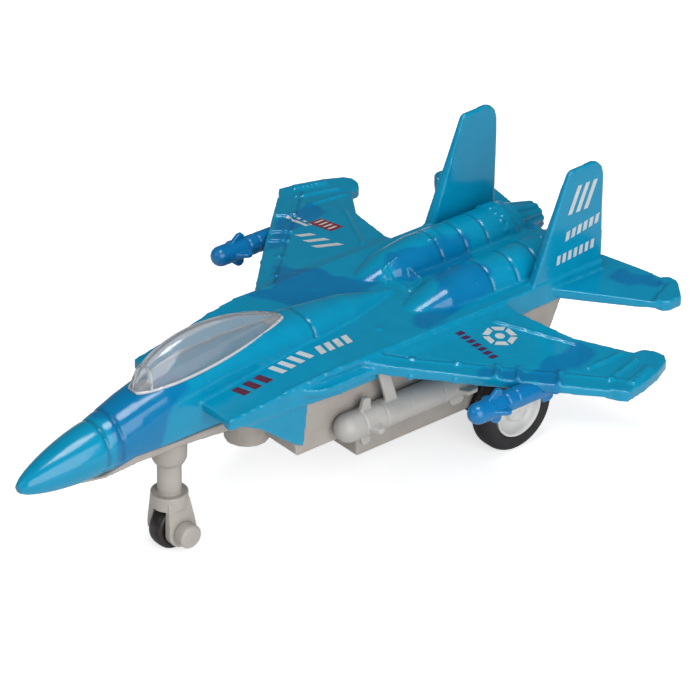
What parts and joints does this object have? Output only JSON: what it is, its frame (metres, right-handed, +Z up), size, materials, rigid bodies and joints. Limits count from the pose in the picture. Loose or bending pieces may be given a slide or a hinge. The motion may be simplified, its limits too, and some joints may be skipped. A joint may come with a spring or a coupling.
{
  "type": "toy airplane",
  "caption": "Twin-tail toy jet with clear canopy, nose leg, under-wing missiles and a geared pull-back spring motor turning the rear wheels.",
  "frame": {"origin": "centre of the bounding box's base, on the plane the wheels stand on", "axes": "-Y towards the nose, +Y towards the tail, +X the plane's left wing, +Z up"},
  "size_m": [0.0946, 0.1254, 0.0541],
  "materials": {
    "body_paint": "gloss",
    "hull_plastic": "satin",
    "leg_plastic": "satin",
    "canopy_clear": "gloss",
    "missile_plastic": "gloss",
    "nose_wheel_plastic": "satin",
    "tyre_rubber": "matte",
    "hub_plastic": "gloss",
    "steel": "bright",
    "spring_steel": "blued",
    "case_plastic": "satin",
    "gear_nylon": "satin"
  },
  "bodies": {
    "airframe": {"body_shell": "body_paint", "lower_hull": "hull_plastic", "canopy": "canopy_clear", "nose_fork": "leg_plastic", "nose_axle": "leg_plastic", "left_hull_missile": "hull_plastic", "right_hull_missile": "hull_plastic", "left_wing_missile": "missile_plastic", "right_wing_missile": "missile_plastic", "motor_case_left": "case_plastic", "motor_case_right": "case_plastic", "intermediate_pin": "steel", "mainspring": "spring_steel", "body_screws": "steel"},
    "nose_wheel": {"nose_wheel": "nose_wheel_plastic"},
    "rear_wheels": {"main_axle": "steel", "left_wheel_hub": "hub_plastic", "right_wheel_hub": "hub_plastic", "left_tyre": "tyre_rubber", "right_tyre": "tyre_rubber", "axle_gear": "gear_nylon"},
    "intermediate_gear": {"intermediate_gear": "gear_nylon"},
    "spring_drive": {"spring_gear": "gear_nylon", "spring_arbor": "steel"}
  },
  "joints": [
    {"name": "rear_axle_spin", "type": "hinge", "parent": "airframe", "child": "rear_wheels", "pos_m": [0, 0.03735, 0.0082], "axis": [1, 0, 0], "continuous": true},
    {"name": "nose_wheel_spin", "type": "hinge", "parent": "airframe", "child": "nose_wheel", "pos_m": [0, -0.03075, 0.0042], "axis": [1, 0, 0], "continuous": true},
    {"name": "intermediate_gear_spin", "type": "hinge", "parent": "airframe", "child": "intermediate_gear", "pos_m": [0, 0.03297, 0.01719], "axis": [1, 0, 0], "continuous": true},
    {"name": "spring_gear_spin", "type": "hinge", "parent": "airframe", "child": "spring_drive", "pos_m": [0, 0.023, 0.01806], "axis": [1, 0, 0], "continuous": true}
  ],
  "couplings": [
    {"joint": "intermediate_gear_spin", "follows": "rear_axle_spin", "ratio": -0.42857},
    {"joint": "spring_gear_spin", "follows": "rear_axle_spin", "ratio": 0.18367}
  ]
}
